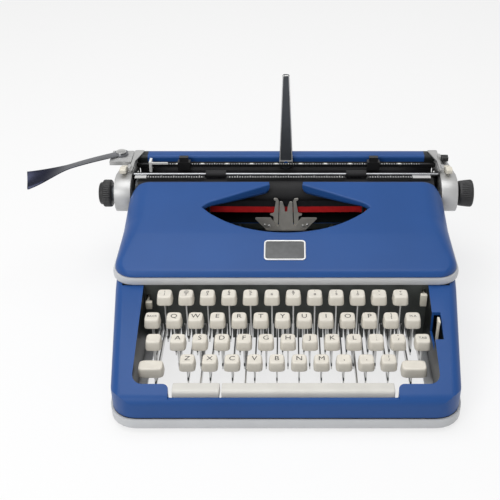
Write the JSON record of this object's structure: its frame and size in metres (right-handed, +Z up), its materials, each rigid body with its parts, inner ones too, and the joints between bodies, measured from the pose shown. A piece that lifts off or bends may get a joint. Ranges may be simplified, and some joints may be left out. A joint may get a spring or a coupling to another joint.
{
  "type": "manual typewriter",
  "caption": "Portable manual typewriter with a hinged top cover, four key rows, a sliding carriage with platen, paper bail, return lever and paper support.",
  "frame": {"origin": "middle of the casing's footprint, on the plane of the feet", "axes": "+X to the typist's right along the platen, +Y to the rear, +Z up"},
  "size_m": [0.4397, 0.3031, 0.2],
  "materials": {
    "blue_paint": "satin blue enamel",
    "pale_trim": "light grey satin",
    "foot_rubber": "matt",
    "bright_steel": "polished",
    "dark_frame": "dark satin",
    "ribbon_cloth": "inked weave",
    "cast_silver": "satin casting",
    "black_metal": "black enamel",
    "platen_rubber": "smooth",
    "black_plastic": "moulded",
    "dark_chrome": "dark mirror",
    "white_plastic": "moulded",
    "cream_plastic": "moulded",
    "key_ivory": "moulded"
  },
  "bodies": {
    "machine": {"rubber_feet": "foot_rubber", "base_tray": "pale_trim", "lower_casing": "blue_paint", "casing_screws": "bright_steel", "trim_band": "pale_trim", "side_frames": "dark_frame", "key_comb": "dark_frame", "fulcrum_rod": "bright_steel", "type_segment": "dark_frame", "typebar_bank": "bright_steel", "type_guide": "bright_steel", "ribbon": "ribbon_cloth", "carriage_rails": "dark_frame", "cover_hinge_pins": "bright_steel"},
    "cover": {"top_cover": "blue_paint", "badge_plate": "bright_steel", "cover_hinge_arms": "dark_frame"},
    "carriage": {"carriage_bed": "dark_frame", "left_end_housing": "cast_silver", "right_end_housing": "cast_silver", "paper_table": "blue_paint", "paper_deflector": "black_metal", "margin_rail": "black_metal", "lever_bracket": "cast_silver"},
    "platen": {"platen_roller": "platen_rubber", "platen_shaft": "bright_steel", "left_platen_knob": "black_plastic", "right_platen_knob": "black_plastic", "line_space_ratchet": "bright_steel"},
    "feed_rollers": {"feed_rollers": "platen_rubber"},
    "return_lever": {"return_lever": "bright_steel"},
    "paper_bail": {"paper_bail": "bright_steel"},
    "bail_rollers": {"bail_rollers": "platen_rubber"},
    "paper_support": {"paper_support": "dark_chrome"},
    "left_margin_stop": {"left_margin_stop": "black_plastic"},
    "right_margin_stop": {"right_margin_stop": "black_plastic"},
    "paper_guide": {"paper_guide": "white_plastic"},
    "paper_release_lever": {"paper_release_lever": "cream_plastic"},
    "carriage_release_lever": {"carriage_release_lever": "black_plastic"},
    "line_space_selector": {"line_space_selector": "cream_plastic"},
    "number_row_keys": {"number_row_keys": "key_ivory"},
    "upper_row_keys": {"upper_row_keys": "key_ivory"},
    "home_row_keys": {"home_row_keys": "key_ivory"},
    "lower_row_keys": {"lower_row_keys": "key_ivory"},
    "strike_key": {"strike_key": "key_ivory"},
    "strike_typebar": {"strike_typebar": "bright_steel"},
    "ribbon_vibrator": {"ribbon_vibrator": "bright_steel"},
    "space_bar": {"space_bar": "key_ivory"},
    "repeat_key": {"repeat_key": "key_ivory"},
    "shift_keys": {"shift_keys": "key_ivory"},
    "shift_lock_key": {"shift_lock_key": "key_ivory"},
    "backspace_key": {"backspace_key": "key_ivory"},
    "margin_release_key": {"margin_release_key": "key_ivory"},
    "tab_key": {"tab_key": "key_ivory"},
    "left_ribbon_spool": {"left_ribbon_spool": "black_plastic"},
    "right_ribbon_spool": {"right_ribbon_spool": "black_plastic"},
    "ribbon_selector": {"ribbon_selector": "cream_plastic"},
    "touch_lever": {"touch_lever": "cream_plastic"},
    "stencil_lever": {"stencil_lever": "cream_plastic"}
  },
  "joints": [
    {"name": "cover_hinge", "type": "hinge", "parent": "machine", "child": "cover", "pos_m": [0, 0.0745, 0.1045], "axis": [-1, 0, 0], "range_deg": [0, 15]},
    {"name": "carriage_slide", "type": "slide", "parent": "machine", "child": "carriage", "axis": [1, 0, 0], "range_m": [-0.115, 0.115]},
    {"name": "platen_turn", "type": "hinge", "parent": "carriage", "child": "platen", "pos_m": [0, 0.092, 0.09], "axis": [1, 0, 0], "continuous": true},
    {"name": "bail_lift", "type": "hinge", "parent": "carriage", "child": "paper_bail", "pos_m": [0, 0.118, 0.1], "axis": [-1, 0, 0], "range_deg": [0, 40]},
    {"name": "bail_roller_spin", "type": "hinge", "parent": "paper_bail", "child": "bail_rollers", "pos_m": [0, 0.09582, 0.10963], "axis": [1, 0, 0], "continuous": true},
    {"name": "feed_roller_spin", "type": "hinge", "parent": "carriage", "child": "feed_rollers", "pos_m": [0, 0.10755, 0.07695], "axis": [1, 0, 0], "continuous": true},
    {"name": "return_lever_swing", "type": "hinge", "parent": "carriage", "child": "return_lever", "pos_m": [-0.17, 0.134, 0.113], "axis": [0, 0, 1], "range_deg": [0, 35], "stiffness_Nm_per_rad": 0.05, "springref_deg": -5.73},
    {"name": "paper_support_fold", "type": "hinge", "parent": "carriage", "child": "paper_support", "pos_m": [0, 0.1325, 0.104], "axis": [0, 1, 0], "range_deg": [0, 88]},
    {"name": "left_margin_slide", "type": "slide", "parent": "carriage", "child": "left_margin_stop", "axis": [1, 0, 0], "range_m": [-0.005, 0.075]},
    {"name": "right_margin_slide", "type": "slide", "parent": "carriage", "child": "right_margin_stop", "axis": [1, 0, 0], "range_m": [-0.06, 0.045]},
    {"name": "paper_guide_slide", "type": "slide", "parent": "carriage", "child": "paper_guide", "axis": [1, 0, 0], "range_m": [-0.008, 0.01]},
    {"name": "paper_release_turn", "type": "hinge", "parent": "carriage", "child": "paper_release_lever", "pos_m": [0.162, 0.106, 0.111], "axis": [-1, 0, 0], "range_deg": [0, 18]},
    {"name": "carriage_release_turn", "type": "hinge", "parent": "carriage", "child": "carriage_release_lever", "pos_m": [0.162, 0.13, 0.111], "axis": [-1, 0, 0], "range_deg": [0, 15], "stiffness_Nm_per_rad": 0.02, "springref_deg": -5.73},
    {"name": "line_space_turn", "type": "hinge", "parent": "carriage", "child": "line_space_selector", "pos_m": [-0.162, 0.106, 0.111], "axis": [-1, 0, 0], "range_deg": [0, 18]},
    {"name": "number_row_press", "type": "hinge", "parent": "machine", "child": "number_row_keys", "pos_m": [0, 0.095, 0.02], "axis": [1, 0, 0], "range_deg": [0, 4.75], "stiffness_Nm_per_rad": 4, "springref_deg": -3.44},
    {"name": "upper_row_press", "type": "hinge", "parent": "machine", "child": "upper_row_keys", "pos_m": [0, 0.095, 0.02], "axis": [1, 0, 0], "range_deg": [0, 4.2], "stiffness_Nm_per_rad": 4, "springref_deg": -3.44},
    {"name": "home_row_press", "type": "hinge", "parent": "machine", "child": "home_row_keys", "pos_m": [0, 0.095, 0.02], "axis": [1, 0, 0], "range_deg": [0, 3.75], "stiffness_Nm_per_rad": 4, "springref_deg": -3.44},
    {"name": "lower_row_press", "type": "hinge", "parent": "machine", "child": "lower_row_keys", "pos_m": [0, 0.095, 0.02], "axis": [1, 0, 0], "range_deg": [0, 3.4], "stiffness_Nm_per_rad": 4, "springref_deg": -3.44},
    {"name": "strike_key_press", "type": "hinge", "parent": "machine", "child": "strike_key", "pos_m": [0, 0.095, 0.02], "axis": [1, 0, 0], "range_deg": [0, 3.75], "stiffness_Nm_per_rad": 0.8, "springref_deg": -3.44},
    {"name": "typebar_strike", "type": "hinge", "parent": "machine", "child": "strike_typebar", "pos_m": [0, 0.04994, 0.03805], "axis": [-1, 0, 0], "range_deg": [0, 95.5]},
    {"name": "vibrator_lift", "type": "slide", "parent": "machine", "child": "ribbon_vibrator", "axis": [0, 0, 1], "range_m": [0, 0.007], "deforming": ["ribbon"]},
    {"name": "space_bar_press", "type": "hinge", "parent": "machine", "child": "space_bar", "pos_m": [0, 0.095, 0.02], "axis": [1, 0, 0], "range_deg": [0, 2.2], "stiffness_Nm_per_rad": 2, "springref_deg": -3.44},
    {"name": "repeat_press", "type": "hinge", "parent": "machine", "child": "repeat_key", "pos_m": [0, 0.095, 0.02], "axis": [1, 0, 0], "range_deg": [0, 2.2], "stiffness_Nm_per_rad": 1, "springref_deg": -3.44},
    {"name": "shift_press", "type": "hinge", "parent": "machine", "child": "shift_keys", "pos_m": [0, 0.095, 0.02], "axis": [1, 0, 0], "range_deg": [0, 2.5], "stiffness_Nm_per_rad": 2.5, "springref_deg": -3.44},
    {"name": "shift_lock_press", "type": "hinge", "parent": "machine", "child": "shift_lock_key", "pos_m": [0, 0.095, 0.02], "axis": [1, 0, 0], "range_deg": [0, 2.5], "stiffness_Nm_per_rad": 0.5, "springref_deg": -3.44},
    {"name": "backspace_press", "type": "hinge", "parent": "machine", "child": "backspace_key", "pos_m": [0, 0.095, 0.02], "axis": [1, 0, 0], "range_deg": [0, 3.5], "stiffness_Nm_per_rad": 0.5, "springref_deg": -3.44},
    {"name": "margin_release_press", "type": "hinge", "parent": "machine", "child": "margin_release_key", "pos_m": [0, 0.095, 0.02], "axis": [1, 0, 0], "range_deg": [0, 3.5], "stiffness_Nm_per_rad": 0.5, "springref_deg": -3.44},
    {"name": "tab_press", "type": "hinge", "parent": "machine", "child": "tab_key", "pos_m": [0, 0.095, 0.02], "axis": [1, 0, 0], "range_deg": [0, 3.2], "stiffness_Nm_per_rad": 0.5, "springref_deg": -3.44},
    {"name": "left_spool_turn", "type": "hinge", "parent": "machine", "child": "left_ribbon_spool", "pos_m": [-0.095, 0.01994, 0.065], "axis": [0, 0, 1], "continuous": true},
    {"name": "right_spool_turn", "type": "hinge", "parent": "machine", "child": "right_ribbon_spool", "pos_m": [0.095, 0.01994, 0.065], "axis": [0, 0, 1], "continuous": true},
    {"name": "ribbon_selector_turn", "type": "hinge", "parent": "machine", "child": "ribbon_selector", "pos_m": [0.1315, -0.08, 0.03], "axis": [1, 0, 0], "range_deg": [-8, 8]},
    {"name": "touch_lever_turn", "type": "hinge", "parent": "machine", "child": "touch_lever", "pos_m": [0.1245, -0.029, 0.0575], "axis": [1, 0, 0], "range_deg": [-10, 10]},
    {"name": "stencil_lever_turn", "type": "hinge", "parent": "machine", "child": "stencil_lever", "pos_m": [-0.1245, -0.029, 0.052], "axis": [1, 0, 0], "range_deg": [-10, 10]}
  ],
  "couplings": [
    {"joint": "bail_roller_spin", "follows": "platen_turn", "ratio": -4.3243},
    {"joint": "feed_roller_spin", "follows": "platen_turn", "ratio": -4},
    {"joint": "typebar_strike", "follows": "strike_key_press", "ratio": 25.46},
    {"joint": "vibrator_lift", "follows": "strike_key_press", "m_per_rad": 0.1069},
    {"joint": "right_spool_turn", "follows": "left_spool_turn", "ratio": 1}
  ]
}
